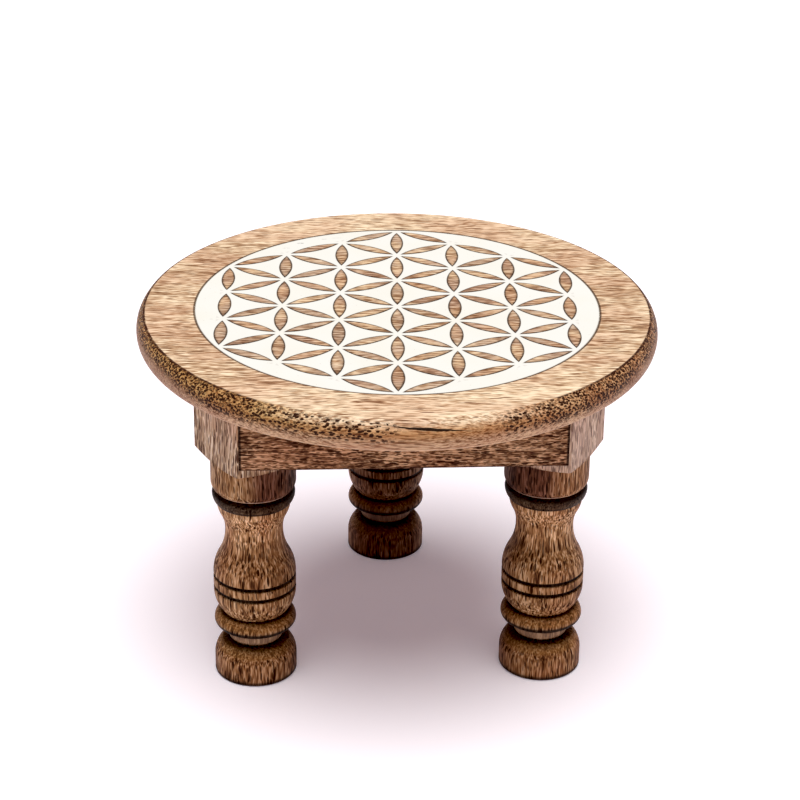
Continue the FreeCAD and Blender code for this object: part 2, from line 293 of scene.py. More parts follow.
# Looks of the woods. Widths, lengths, gaps, wander and waves are in mm, and a pore's size is a share of its
# gap. Roughness is that of the wood and that of its pores.
TOP_LOOK = {
    "tones": (
        (0.1, srgb(118, 80, 50)),
        (0.36, srgb(184, 146, 109)),
        (0.54, srgb(216, 185, 148)),
        (0.8, srgb(250, 229, 194)),
    ),
    "contrast": 3.1,
    "band_contrast": 0.45,
    "rose": srgb(240, 225, 222),
    "rosiness": 0.7,
    "pore": srgb(108, 70, 42),
    "pore_strength": 0.75,
    "pore_gap": 2.0,
    "pore_length": 13.0,
    "pore_size": 0.2,
    "small_pores": 0.6,
    "fibre_width": 0.75,
    "fibre_length": 9.0,
    "band_width": 9.0,
    "band_length": 90.0,
    "wander": 4.0,
    "waves": 0.9,
    "roughness": (0.5, 0.8),
    "relief_mm": 0.06,
    "specular": 0.15,
}

LEG_LOOK = {
    "tones": (
        (0.1, srgb(62, 29, 11)),
        (0.38, srgb(128, 87, 52)),
        (0.56, srgb(163, 119, 77)),
        (0.85, srgb(214, 176, 136)),
    ),
    "contrast": 2.3,
    "band_contrast": 0.6,
    "rose": srgb(240, 215, 208),
    "rosiness": 0.55,
    "pore": srgb(42, 13, 2),
    "pore_strength": 0.97,
    "pore_gap": 1.8,
    "pore_length": 11.5,
    "pore_size": 0.27,
    "small_pores": 0.75,
    "fibre_width": 0.95,
    "fibre_length": 12.0,
    "band_width": 7.0,
    "band_length": 80.0,
    "wander": 5.0,
    "waves": 1.2,
    "roughness": (0.5, 0.8),
    "relief_mm": 0.1,
    "specular": 0.1,
}

RAIL_LOOK = {
    **LEG_LOOK,
    "tones": (
        (0.1, srgb(72, 39, 20)),
        (0.38, srgb(136, 95, 64)),
        (0.56, srgb(168, 126, 92)),
        (0.85, srgb(214, 172, 134)),
    ),
    "contrast": 2.8,
    "rosiness": 0.5,
    "pore": srgb(46, 18, 6),
    "pore_gap": 1.05,
    "pore_length": 4.6,
    "pore_size": 0.34,
    "small_pores": 0.8,
    "fibre_width": 1.0,
    "fibre_length": 7.0,
    "relief_mm": 0.08,
    "specular": 0.12,
}

DOWEL_LOOK = {**TOP_LOOK, "roughness": (0.55, 0.75), "relief_mm": 0.05, "specular": 0.3}

# Lumps in all the woods, across and along the grain in millimetres, and the noise levels where the rosy
# patches and the crowds of pores start and are full
WANDER_LUMP_MM = (26.0, 60.0)
WAVE_LUMP_MM = (5.0, 14.0)
ROSY_LUMP_MM = (20.0, 45.0)
ROSY_LEVELS = (0.42, 0.62)
CROWD_LUMP_MM = (6.0, 16.0)
CROWD_LEVELS = (0.3, 0.55)

# Threads against fibres: their width and length, and how much each gives to the tone
THREAD_WIDTH_SHARE = 0.5
THREAD_LENGTH_SHARE = 0.55
THREAD_TONE_SHARE = 0.45
FIBRE_TONE_SHARE = 0.55

# Small pores against large ones: their gap and length, and their shift to another pattern
SMALL_GAP_SHARE = 0.62
SMALL_LENGTH_SHARE = 0.55
SMALL_PORE_SHIFT_MM = (31.0, 17.0, 5.0)
LARGE_PORE_SOFTNESS = 0.08
SMALL_PORE_SOFTNESS = 0.1

# How much the tone raises the relief, where a pore lowers it by 1
TONE_RELIEF = 0.4


def along_grain(f, angle, shift):
    """The place in a frame whose Z runs along a level grain, shifted to another part of the log."""
    x, y, z = f.turned(-angle)
    return f.vector("ADD", f.joined(y, z, x), shift)


def sway(f, place, lump, reach):
    """A push across the grain, up to about half of reach, that changes from lump to lump."""
    push = f.vector("SUBTRACT", f.noise(place, *lump, output=1), (NOISE_MIDDLE,) * 3)
    return f.vector("MULTIPLY", push, (reach, reach, 0.0))


def wood_tone(f, place, look, paler):
    """How light the wood is, with fine threads and fibres in broad bands."""
    width, length = look["fibre_width"], look["fibre_length"]
    fibres = f.noise(place, width, length, detail=1.0)
    threads = f.noise(place, width * THREAD_WIDTH_SHARE, length * THREAD_LENGTH_SHARE, detail=1.0)
    bands = f.noise(place, look["band_width"], look["band_length"])
    tone = f.math("ADD", f.times(fibres, FIBRE_TONE_SHARE), f.times(threads, THREAD_TONE_SHARE))
    tone = f.math("MULTIPLY_ADD", f.math("SUBTRACT", tone, NOISE_MIDDLE), look["contrast"], NOISE_MIDDLE)
    tone = f.math("MULTIPLY_ADD", f.math("SUBTRACT", bands, NOISE_MIDDLE), look["band_contrast"], tone)
    return f.math("ADD", tone, paler)


def wood_pores(f, place, look):
    """1 in the pores: large ones in crowds, and weaker small ones all over."""
    gap, length, size = look["pore_gap"], look["pore_length"], look["pore_size"]
    crowd = f.step(f.noise(place, *CROWD_LUMP_MM, detail=1.0), *CROWD_LEVELS)
    large = f.spindles(place, gap, length, size, LARGE_PORE_SOFTNESS)
    place = f.vector("ADD", place, SMALL_PORE_SHIFT_MM)
    gap *= SMALL_GAP_SHARE
    length *= SMALL_LENGTH_SHARE
    small = f.spindles(place, gap, length, size, SMALL_PORE_SOFTNESS)
    return f.math("MAXIMUM", f.times(large, crowd), f.times(small, look["small_pores"]))


def wood(f, place, look, paler=0.0):
    """Colour, pores and relief of wood whose fibres run along Z of the place, lighter by paler."""
    wander = sway(f, place, WANDER_LUMP_MM, look["wander"])
    waves = sway(f, place, WAVE_LUMP_MM, look["waves"])
    place = f.vector("ADD", f.vector("ADD", place, wander), waves)

    tone = wood_tone(f, place, look, paler)
    rosy = f.step(f.noise(place, *ROSY_LUMP_MM, detail=1.0), *ROSY_LEVELS)
    colour = f.tinted(f.times(rosy, look["rosiness"]), f.tones(tone, look["tones"]), look["rose"])
    pores = wood_pores(f, place, look)
    colour = f.coated(colour, pores, look["pore_strength"], look["pore"])
    return colour, pores, f.math("SUBTRACT", f.times(tone, TONE_RELIEF), pores)


def finish_wood(f, look, colour, pores, relief):
    """The finished material, rougher in its pores."""
    roughness = f.level(pores, *look["roughness"])
    return f.finish(colour, roughness, relief, look["relief_mm"], look["specular"])


# How the values below are given. PATCHES: width of a lump in mm, detail of the noise, its two levels and,
# for dust, its roughness. SPINDLES: width and length of a cell in mm, thickness and softness. LUMP_MM:
# width, or width and length. COAT: strength and colour. SHIFT_MM: along X, Y and Z. Any other pair in mm:
# where something is 0 and where it is 1. Any other three in mm: where it starts and ends, and how softly.

# Petals: grey patches, and a scorched line that wavers round each petal, with darker tips
PETAL_PATCHES = (14.0, 1.0, 0.36, 0.62)
PETAL_WARM_TINT = srgb(246, 240, 232)
PETAL_GREY_TINT = srgb(226, 222, 226)
PETAL_SCORCH = srgb(62, 48, 38)
WAVER_LUMP_MM = 3.0
WAVER_MM = 0.45
LINE_DEPTHS_MM = (0.75, 0.2)
LINE_SHARE = 0.65
TIP_DEPTHS_MM = (1.8, 0.5)
TIP_SHARE = 0.15
LATTICE_END_MM = (LATTICE_EDGE_MM + 0.1, LATTICE_EDGE_MM + 0.4)


def folded(f, value, period):
    """Distance along one axis from the nearest multiple of the period."""
    return f.math("PINGPONG", value, period / 2)


def petal_depth(f):
    """How far a place lies inside the nearest petal's outline, in millimetres, or less than 0 outside."""
    deepest = None
    outermost = None
    for direction in ROW_DIRECTIONS:
        along, across, _ = f.turned(-(TOP_TURN + direction))
        offset = f.unsigned(across)
        outermost = offset if outermost is None else f.math("MAXIMUM", outermost, offset)
        # Every second row of petals is shifted by half a step
        for shifted in (0, 1):
            start = f.math("ADD", along, LATTICE_STEP_MM / 2 * (1 - shifted))
            row = f.math("ADD", across, LATTICE_ROW_MM * shifted)
            reach = folded(f, start, LATTICE_STEP_MM)
            rise = f.math("ADD", folded(f, row, 2 * LATTICE_ROW_MM), LATTICE_ROW_MM)
            span = f.vector("LENGTH", f.joined(reach, rise, 0.0))
            depth = f.math("SUBTRACT", PETAL_ARC_MM, span)
            deepest = depth if deepest is None else f.math("MAXIMUM", deepest, depth)
    beyond = f.step(outermost, *LATTICE_END_MM)
    return f.math("MULTIPLY_ADD", beyond, -LATTICE_STEP_MM, deepest)


def petal_wood(f, colour, on_top):
    """The petals: greyer than the border, with a scorched line round each and darker tips."""
    tint = f.mix(f.patches(*PETAL_PATCHES), PETAL_WARM_TINT, PETAL_GREY_TINT)
    colour = f.tinted(1.0, colour, tint)
    depth = petal_depth(f)
    waver = f.level(f.noise(f.place, WAVER_LUMP_MM, WAVER_LUMP_MM, detail=1.0), -WAVER_MM, WAVER_MM)
    line = f.step(f.math("ADD", depth, waver), *LINE_DEPTHS_MM)
    tip = f.step(depth, *TIP_DEPTHS_MM)
    scorch = f.math("ADD", f.times(line, LINE_SHARE), f.times(tip, TIP_SHARE))
    return f.coated(colour, scorch, on_top, PETAL_SCORCH)


# Front of the table, where Y is below 0
FRONT_Y_MM = (0.0, -1.0)

# Drying crack in the front of the rim
CRACK_X_MM = 7.0
CRACK_HALF_LENGTH_MM = 20.0
CRACK_HEIGHT_MM = 170.9
CRACK_DROP_PER_MM = 0.09
CRACK_HALF_WIDTH_MM = 0.62
CRACK_TIP_MM = 1.0
CRACK_EDGE_MM = (0.12, -0.05)
CRACK_LUMP_MM = 5.0
CRACK_BEND_MM = 1.2
CRACK_RELIEF = 3.0
CRACK_COAT = (0.97, srgb(20, 7, 2))

# Pores where the rim cuts the grain, and the shift of their log
COARSE_SPINDLES = (1.35, 2.6, 0.39, 0.07)
FINE_SPINDLES = (1.0, 2.0, 0.42, 0.08)
COARSE_PATCHES = (3.5, 2.0, 0.28, 0.4)
CROWD_PATCHES = (7.0, 2.0, 0.36, 0.56)
CROWD_SHARE = 0.4
RIM_SHIFT_MM = (9.0, 3.0, 11.0)
SPECKLE_COAT = (0.98, srgb(42, 14, 2))

# Where the pores thin out, and how many are left there: low on the rim, close to the face in front, and
# in the calm stretch beside the crack, where the grain lies along the rim
LOW_RIM_PORES = 0.15
CLEAR_DEPTHS_MM = (1.6, 0.9)
CLEAR_PORES = 0.15
CALM_STRETCH_MM = (-4.0, 36.0, 7.0)
CALM_PORES = 0.2

# By distance from the middle along X: the sides of the rim, and where it cuts the grain
SIDE_REACH_MM = (85.0, 118.0)
CUT_REACH_MM = (20.0, 75.0)

# Pores and tones of the rim's upper part: the heights where they come in, and how much higher at the sides
PORE_HEIGHTS_MM = (UNDERSIDE_MM + 3.5, UNDERSIDE_MM + 7.5)
PORE_LIFT_MM = 5.0
TONE_HEIGHTS_MM = (UNDERSIDE_MM + 4.0, UNDERSIDE_MM + 10.0)
TONE_LIFT_MM = 4.0

# Tones of the rim: gold in front, deepening down the rim as painted shade, tan where it cuts the grain,
# more painted shade below, a smooth lower part, and a lower arris light from wear and a painted highlight
TAN_X_MM = (20.0, 70.0)
TAN_LEFT = srgb(214, 190, 148)
TAN_RIGHT = srgb(216, 188, 162)
FRONT_GOLD = srgb(230, 202, 172)
GOLD_DEPTHS_MM = (0.8, 5.5)
SHADE_DEPTHS_MM = (3.0, 8.0)
RIM_SHADE = srgb(212, 196, 180)
SMOOTH_COAT = (0.4, srgb(190, 154, 130))
LOW_RIM_TINT = srgb(210, 190, 178)
LOWER_ARRIS_MM = (UNDERSIDE_MM, UNDERSIDE_MM + 0.7, 0.5)
LOWER_ARRIS_WEAR_AND_HIGHLIGHT_COAT = (0.5, srgb(222, 184, 152))


def by_depth(f, first, second):
    """0 at the first depth below the top's face, and 1 at the second."""
    return f.step(f.z, TOP_HEIGHT_MM - first, TOP_HEIGHT_MM - second)


def upper_rim(f, side, heights, lift):
    """0 low on the rim and 1 high on it, between two heights that lie higher by lift at the sides."""
    return f.step(f.math("MULTIPLY_ADD", side, -lift, f.z), *heights)


def crack_share(f):
    """1 in the drying crack, which tapers and drops along the front of the rim."""
    along = f.math("SUBTRACT", f.x, CRACK_X_MM)
    reach = f.unsigned(along)
    half_width = f.times(f.step(reach, CRACK_HALF_LENGTH_MM, 0.0), CRACK_HALF_WIDTH_MM)
    lumps = f.math("SUBTRACT", f.noise(f.place, CRACK_LUMP_MM, CRACK_LUMP_MM), NOISE_MIDDLE)
    height = f.math("ADD", f.z, f.times(lumps, CRACK_BEND_MM))
    height = f.math("MULTIPLY_ADD", along, CRACK_DROP_PER_MM, height)
    offset = f.unsigned(f.math("SUBTRACT", height, CRACK_HEIGHT_MM))
    return f.times(
        f.step(f.math("SUBTRACT", offset, half_width), *CRACK_EDGE_MM),
        f.step(reach, CRACK_HALF_LENGTH_MM, CRACK_HALF_LENGTH_MM - CRACK_TIP_MM),
        f.step(f.y, *FRONT_Y_MM),
    )


def rim_speckle(f, side, cut):
    """Dark pores of the rim: dense at the arris where it cuts the grain, sparse and lower in front."""
    cut_ends = along_grain(f, TOP_GRAIN_ANGLE, RIM_SHIFT_MM)
    coarse = f.times(f.spindles(cut_ends, *COARSE_SPINDLES), f.patches(*COARSE_PATCHES))
    crowd = f.times(f.patches(*CROWD_PATCHES), CROWD_SHARE)
    crowd = f.math("MULTIPLY_ADD", cut, 1.0 - CROWD_SHARE, crowd)
    fine = f.times(f.spindles(cut_ends, *FINE_SPINDLES), crowd)

    upper = upper_rim(f, side, PORE_HEIGHTS_MM, PORE_LIFT_MM)
    clear = f.times(by_depth(f, *CLEAR_DEPTHS_MM), f.opposite(cut))
    calm = f.times(f.between(f.x, *CALM_STRETCH_MM), f.step(f.y, *FRONT_Y_MM))
    return f.times(
        f.math("MAXIMUM", coarse, fine),
        f.level(upper, LOW_RIM_PORES, 1.0),
        f.level(clear, 1.0, CLEAR_PORES),
        f.level(calm, 1.0, CALM_PORES),
    )


def rim_tones(f, colour, side, cut):
    """The rim without its pores: a golden or tan upper part, and a smooth rosy lower half."""
    tan = f.mix(f.step(f.x, *TAN_X_MM), TAN_LEFT, TAN_RIGHT)
    # Tan of the end grain where the rim cuts the grain, and in front a gold that deepens down the rim as
    # painted shade
    gold = f.math("MAXIMUM", cut, by_depth(f, *GOLD_DEPTHS_MM))
    upper_colour = f.tinted(gold, colour, f.mix(cut, FRONT_GOLD, tan))
    # More painted shade lower on the rim
    upper_colour = f.tinted(by_depth(f, *SHADE_DEPTHS_MM), upper_colour, RIM_SHADE)
    lower_colour = f.tinted(1.0, f.coated(colour, side, *SMOOTH_COAT), LOW_RIM_TINT)
    colour = f.mix(upper_rim(f, side, TONE_HEIGHTS_MM, TONE_LIFT_MM), lower_colour, upper_colour)
    # Lower arris lightened by wear and by a painted highlight
    return f.coated(colour, f.between(f.z, *LOWER_ARRIS_MM), *LOWER_ARRIS_WEAR_AND_HIGHLIGHT_COAT)


def rim_wood(f, colour, relief):
    """The rim: dark pores where it cuts the grain, a smooth rosy lower half and one drying crack."""
    reach = f.unsigned(f.x)
    side = f.step(reach, *SIDE_REACH_MM)
    cut = f.step(reach, *CUT_REACH_MM)
    speckle = rim_speckle(f, side, cut)
    crack = crack_share(f)
    colour = rim_tones(f, colour, side, cut)
    colour = f.coated(colour, speckle, *SPECKLE_COAT)
    colour = f.coated(colour, crack, *CRACK_COAT)
    hollows = f.math("ADD", f.times(crack, CRACK_RELIEF), speckle)
    return colour, f.math("SUBTRACT", relief, hollows)


# Face of the top: its pale sapwood by distance from the middle along Y, the depths where it ends, and where
# the petals end and the rim starts by distance from the middle
SAPWOOD_REACH_MM = (72.0, 104.0)
SAPWOOD_PALER = 0.14
TOP_SHIFT_MM = (0.0, 4.0, 30.0)
FACE_DEPTHS_MM = (2.2, 0.4)
PETALS_END_MM = (POCKET_RADIUS_MM + 1.2, POCKET_RADIUS_MM + 0.9)
RIM_START_MM = (TOP_RADIUS_MM - RIM_FLAT_MM, TOP_RADIUS_MM - RIM_FLAT_MM + 1.0)

# White residue on the wall of the pocket: by distance from the middle and by height
RESIDUE_RING_MM = (POCKET_RADIUS_MM - 0.6, POCKET_RADIUS_MM + SCORCH_GAP_MM + 0.05, 0.05)
RESIDUE_HEIGHTS_MM = (TOP_HEIGHT_MM - 2.0, TOP_HEIGHT_MM - 0.12, 0.1)
RESIDUE_COLOUR = srgb(236, 230, 216)

# Dark ragged line along the arris at the ends of the grain
ARRIS_RING_MM = (TOP_RADIUS_MM - 4.2, TOP_RADIUS_MM - 3.5, 0.35)
END_GRAIN_REACH_MM = (55.0, 95.0)
RAGGED_PATCHES = (2.0, 2.0, 0.3, 0.55)
ARRIS_SHARES = (0.35, 0.95)
ARRIS_COLOUR = srgb(56, 25, 10)


def pocket_residue(f):
    """1 on the wall of the pocket."""
    return f.times(f.between(f.radius, *RESIDUE_RING_MM), f.between(f.z, *RESIDUE_HEIGHTS_MM))


def arris_share(f, on_top):
    """The strength of the dark line along the arris."""
    return f.times(
        f.between(f.radius, *ARRIS_RING_MM),
        on_top,
        f.step(f.unsigned(f.x), *END_GRAIN_REACH_MM),
        f.level(f.patches(*RAGGED_PATCHES), *ARRIS_SHARES),
    )


def top_wood():
    """The top board: pale along the grain, with greyer petals and dark pores round the rim."""
    f = Finish("top_wood_oiled")
    sapwood = f.step(f.unsigned(f.y), *SAPWOOD_REACH_MM)
    place = along_grain(f, TOP_GRAIN_ANGLE, TOP_SHIFT_MM)
    colour, pores, relief = wood(f, place, TOP_LOOK, f.times(sapwood, SAPWOOD_PALER))
    on_top = by_depth(f, *FACE_DEPTHS_MM)
    petals = f.step(f.radius, *PETALS_END_MM)
    colour = f.mix(petals, colour, petal_wood(f, colour, on_top))
    colour = f.mix(pocket_residue(f), colour, RESIDUE_COLOUR)

    rim = f.step(f.radius, *RIM_START_MM)
    rim_colour, rim_relief = rim_wood(f, colour, relief)
    colour = f.mix(rim, colour, rim_colour)
    colour = f.mix(arris_share(f, on_top), colour, ARRIS_COLOUR)
    relief = f.math("MULTIPLY_ADD", f.math("SUBTRACT", rim_relief, relief), rim, relief)
    return finish_wood(f, TOP_LOOK, colour, pores, relief)


# Share of scorch by height on a leg: from the floor line to the grooves, and round the ring.
# At the floor line the dark band is partly a burnt edge and partly painted contact shadow
FOOT_SCORCH_AND_SHADOW = (
    (0.0, 0.95), (1.6, 0.85), (2.5, 0.15), (3.6, 0.0), (15.5, 0.0), (17.6, 0.3), (18.5, 0.9), (19.3, 0.85),
    (20.2, 0.05), (24.4, 0.05), (25.4, 0.95), (28.5, 1.0), (29.3, 0.2), (30.4, 0.0), (32.4, 0.0),
    (33.2, 0.3), (33.7, 0.97), (34.3, 0.3), (34.8, 0.0), (46.3, 0.0), (46.8, 1.0), (48.3, 1.0),
    (48.8, 0.0), (52.3, 0.0), (52.8, 1.0), (54.3, 1.0), (54.8, 0.0),
)
RING_SCORCH = (
    (93.1, 0.0), (93.6, 1.0), (94.6, 0.98), (95.4, 0.88), (97.6, 0.91), (99.0, 1.0), (100.5, 1.0),
    (100.8, 0.0),
)
SCORCH_AND_SHADOW_COLOUR = srgb(17, 4, 0)
SCORCH_LUMP_MM = (4.0, 1.2)
SCORCH_LEVELS = (0.2, 0.75)
SCORCH_SHARES = (0.92, 1.0)

# Bare wood under a foot: its heights, how far it reaches from the leg's axis, and the scorch left on it
SOLE_HEIGHTS_MM = (0.4, 0.2)
SOLE_REACH_MM = (16.0, 14.0)
SOLE_SCORCH = 0.1

# How far the fibres stand apart by height, as they close in with the vase above the grooves
FIBRE_SPREAD_SHARES = ((52.0, 1.0), (62.0, 0.97), (70.0, 0.89), (78.0, 0.79), (93.6, 0.79), (100.0, 1.0))

# The block: where it starts, its paler wood, its pores and its rubbed edges
BLOCK_START_MM = (SHOULDER_FOOT_MM - 1.0, BLOCK_FOOT_MM)
BLOCK_FACTORS = (1.4, 1.78, 2.36)
BLOCK_PORE_COAT = (0.75, srgb(84, 54, 38))
BLOCK_EDGE_MM = 0.9
BLOCK_EDGE_LEVELS = (0.02, 0.3)
BLOCK_EDGE_COAT = (0.3, srgb(210, 172, 142))

# Turned parts of a leg: from and to which height, how softly they end, and how they look
NECK_MM = (78.0, 91.0, 12.0)
NECK_FACTORS = (1.36, 1.4, 1.48)
COLLAR_MM = (COLLAR_FOOT_MM + 0.6, SHOULDER_FOOT_MM, 0.6)
# Painted shade on the collar's inner side, under the top's overhang
COLLAR_SHADE_FACTORS = (0.33, 0.24, 0.27)
# Painted highlight along the collar's lower edge
COLLAR_HIGHLIGHT_MM = (COLLAR_FOOT_MM + 0.3, COLLAR_FOOT_MM + 0.6, 0.25)
COLLAR_HIGHLIGHT_COAT = (0.6, srgb(196, 166, 150))
FOOT_SHOULDER_MM = (14.8, 17.6, 1.6)
DISC_EDGE_MM = (30.6, 33.2, 1.4)
RUBBED_FACTORS = (0.92, 0.84, 0.7)
RUBBED_COAT = (0.35, srgb(138, 96, 54))
FOOT_TOP_MM = (16.0, 13.0)
FOOT_FACTORS = (0.88, 0.8, 0.76)
BEAD_MM = (20.0, 24.6, 0.8)
BEAD_COAT = (0.5, srgb(176, 144, 118))

# Outer and inner side of a leg, by distance from the table's middle
OUTER_SIDE_MM = (89.0, 99.0)
INNER_SIDE_MM = (86.0, 66.0)

# The three legs: shift to another part of the log, how far a colour covers the block and which, and how
# much darker the leg's inner side is painted, as painted shade under the table
BROWN_BLOCK = (0.12, srgb(186, 158, 144))
PALE_BLOCK = (0.42, srgb(214, 184, 168))
INNER_PAINTED_SHADE = (0.62, 0.55, 0.5)
# The back leg stands deeper under the table, so its painted shade is darker
DEEP_PAINTED_SHADE = (0.44, 0.38, 0.42)
LEG_WOODS = {
    "leg_front_left": ((40.0, 7.0, 0.0), BROWN_BLOCK, INNER_PAINTED_SHADE),
    "leg_front_right": ((-25.0, 60.0, 130.0), PALE_BLOCK, INNER_PAINTED_SHADE),
    "leg_back": ((90.0, -33.0, 300.0), BROWN_BLOCK, DEEP_PAINTED_SHADE),
}


def leg_axis(name):
    """Where the middle of a leg stands, in millimetres."""
    low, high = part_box(name)
    return ((low.x + high.x) / 2 / MM, (low.y + high.y) / 2 / MM, 0.0)


def leg_grain(f, offset, start):
    """The place along a leg's fibres, which start there on its axis and close in with the vase."""
    x, y, height = f.parts(offset)
    spread = f.ramp(f.z, FIBRE_SPREAD_SHARES)
    grain = f.joined(f.math("DIVIDE", x, spread), f.math("DIVIDE", y, spread), height)
    return f.vector("ADD", grain, start)


def block_wood(f, colour, pores, coat_share, coat):
    """The block, much paler than the turned part, with its pores still dark."""
    colour = f.mix(coat_share, f.scaled(1.0, colour, BLOCK_FACTORS), coat)
    return f.coated(colour, pores, *BLOCK_PORE_COAT)


def turned_wood(f, colour):
    """Changes of tone down the turned part, from its light neck and its collar, darkened by painted shade
    and edged with a painted highlight, to its dark foot.
    """
    colour = f.scaled(f.between(f.z, *NECK_MM), colour, NECK_FACTORS)
    # Painted shade from the top's overhang darkens the collar on the leg's inner side
    inwards = f.opposite(f.step(f.radius, *OUTER_SIDE_MM))
    colour = f.scaled(f.times(f.between(f.z, *COLLAR_MM), inwards), colour, COLLAR_SHADE_FACTORS)
    # Painted highlight along the collar's lower edge
    colour = f.coated(colour, f.between(f.z, *COLLAR_HIGHLIGHT_MM), *COLLAR_HIGHLIGHT_COAT)
    rubbed = f.math("ADD", f.between(f.z, *FOOT_SHOULDER_MM), f.between(f.z, *DISC_EDGE_MM))
    colour = f.coated(f.scaled(rubbed, colour, RUBBED_FACTORS), rubbed, *RUBBED_COAT)
    colour = f.scaled(f.step(f.z, *FOOT_TOP_MM), colour, FOOT_FACTORS)
    return f.coated(colour, f.between(f.z, *BEAD_MM), *BEAD_COAT)


def leg_scorch_and_shadow(f, offset):
    """1 where the leg is burnt, from its floor line up to its ring, and little on its sole. At the floor
    line it is partly painted contact shadow.
    """
    x, y, _ = f.parts(offset)
    from_axis = f.vector("LENGTH", f.joined(x, y, 0.0))
    sole = f.times(f.step(f.z, *SOLE_HEIGHTS_MM), f.step(from_axis, *SOLE_REACH_MM))
    foot = f.times(f.ramp(f.z, FOOT_SCORCH_AND_SHADOW), f.level(sole, 1.0, SOLE_SCORCH))
    uneven = f.step(f.noise(f.place, *SCORCH_LUMP_MM), *SCORCH_LEVELS)
    return f.times(f.math("MAXIMUM", foot, f.ramp(f.z, RING_SCORCH)), f.level(uneven, *SCORCH_SHARES))


def leg_wood(name):
    """A leg: brown turned wood with burnt rings and grooves, and a paler block with rubbed edges, with
    painted shade on its inner side and painted contact shadow at its floor line.
    """
    shift, block_coat, shade = LEG_WOODS[name]
    f = Finish(name + "_wood")
    axis = leg_axis(name)
    offset = f.vector("SUBTRACT", f.place, axis)
    grain = leg_grain(f, offset, [a + b for a, b in zip(axis, shift)])
    colour, pores, relief = wood(f, grain, LEG_LOOK)

    block = f.step(f.z, *BLOCK_START_MM)
    colour = f.mix(block, colour, block_wood(f, colour, pores, *block_coat))
    colour = turned_wood(f, colour)
    rubbed = f.times(f.edges(BLOCK_EDGE_MM, *BLOCK_EDGE_LEVELS), block)
    colour = f.coated(colour, rubbed, *BLOCK_EDGE_COAT)
    # Painted shade on the inner side of the turned part, under the table
    inner = f.times(f.step(f.radius, *INNER_SIDE_MM), f.opposite(block))
    colour = f.scaled(inner, colour, shade)
    # Burns, with painted contact shadow at the floor line
    colour = f.mix(leg_scorch_and_shadow(f, offset), colour, SCORCH_AND_SHADOW_COLOUR)
    return finish_wood(f, LEG_LOOK, colour, pores, relief)


# The three rails: name of the wood, direction of the grain, and shift to another part of the log
RAIL_WOODS = {
    "apron_front": ("apron_wood_front", math.radians(0), (5.0, 40.0, 0.0)),
    "apron_right": ("apron_wood_right", math.radians(120), (50.0, 15.0, 90.0)),
    "apron_left": ("apron_wood_left", math.radians(240), (-20.0, 70.0, 200.0)),
}
# Painted shade along the foot of a rail
RAIL_FOOT_END_MM = (RAIL_FOOT_MM + 1.4, RAIL_FOOT_MM + 0.5)
RAIL_FOOT_SHADE_COAT = (0.6, srgb(48, 20, 10))
SEAM_COAT = (0.9, srgb(26, 10, 4))


def seam_share(f, angle):
    """1 in the dark joint lines along a rail's bevelled ends."""
    outwards, _, along = f.parts(along_grain(f, angle, (0.0, 0.0, 0.0)))
    depth = f.math("ADD", outwards, RAIL_FACE_MM)
    end = f.math("MULTIPLY_ADD", depth, -BEVEL_SLOPE, RAIL_END_MM)
    return f.step(f.math("SUBTRACT", end, f.unsigned(along)), SEAM_WIDTH_MM * 2, SEAM_WIDTH_MM)


def rail_wood(name):
    """A rail: planed reddish brown wood with level grain, painted shade along its foot and dark lines at
    its joints.
    """
    wood_name, angle, shift = RAIL_WOODS[name]
    f = Finish(wood_name)
    colour, pores, relief = wood(f, along_grain(f, angle, shift), RAIL_LOOK)
    # Painted shade along the rail's foot
    colour = f.coated(colour, f.step(f.z, *RAIL_FOOT_END_MM), *RAIL_FOOT_SHADE_COAT)
    colour = f.coated(colour, seam_share(f, angle), *SEAM_COAT)
    return finish_wood(f, RAIL_LOOK, colour, pores, relief)


# Grey knocks and stains in the white fill: place along X and Y, length along X, strength
FILL_MARKS = (
    (-52.0, 74.8, 3.0, 0.25),
    (-44.8, 81.0, 2.6, 0.7),
    (-32.5, 86.2, 2.0, 0.35),
    (-26.0, 87.5, 4.0, 0.18),
    (-89.0, -12.0, 0.6, 0.3),
)
MARK_ENDS_MM = (0.8, -0.2)
MARK_SIDES_MM = (0.8, 0.1)
MARK_PATCHES = (0.7, 2.0, 0.3, 0.6)
MARK_COLOUR = srgb(84, 78, 74)

# The fill's own tones, specks and scuffs
CLOUD_PATCHES = (30.0, 3.0, 0.35, 0.7)
FILL_WHITE = srgb(236, 236, 227)
FILL_CREAM = srgb(232, 231, 219)
FILL_ROUGHNESS = (0.5, 0.65)
SPECK_SPINDLES = (3.4, 3.4, 0.05, 0.05)
SPECK_COAT = (0.3, srgb(170, 150, 126))
DUST_PATCHES = (0.8, 3.0, 0.6, 0.78, 0.7)
SCUFF_PATCHES = (14.0, 2.0, 0.58, 0.72)
SCUFF_COAT = (0.35, srgb(190, 168, 140))

# Hairline of painted shadow at the fill's edges: round the pocket, but only in front, and weaker round the
# petals
HAIRLINE_FRONT_Y_MM = (30.0, -40.0)
POCKET_LINE_MM = (POCKET_RADIUS_MM - 0.6, POCKET_RADIUS_MM - 0.1)
PETAL_LINE_DEPTHS_MM = (-SCORCH_GAP_MM - 0.4, -SCORCH_GAP_MM)
PETAL_LINE_SHARE = 0.6
HAIRLINE_SHADOW_COAT = (0.3, srgb(146, 132, 120))

# Relief of the fill: shallow lumps, and specks that lie lower
FILL_LUMP_MM = 1.4
FILL_LUMP_DETAIL = 3.0
SPECK_RELIEF = -2.0
FILL_RELIEF_MM = 0.02
FILL_SPECULAR = 0.4


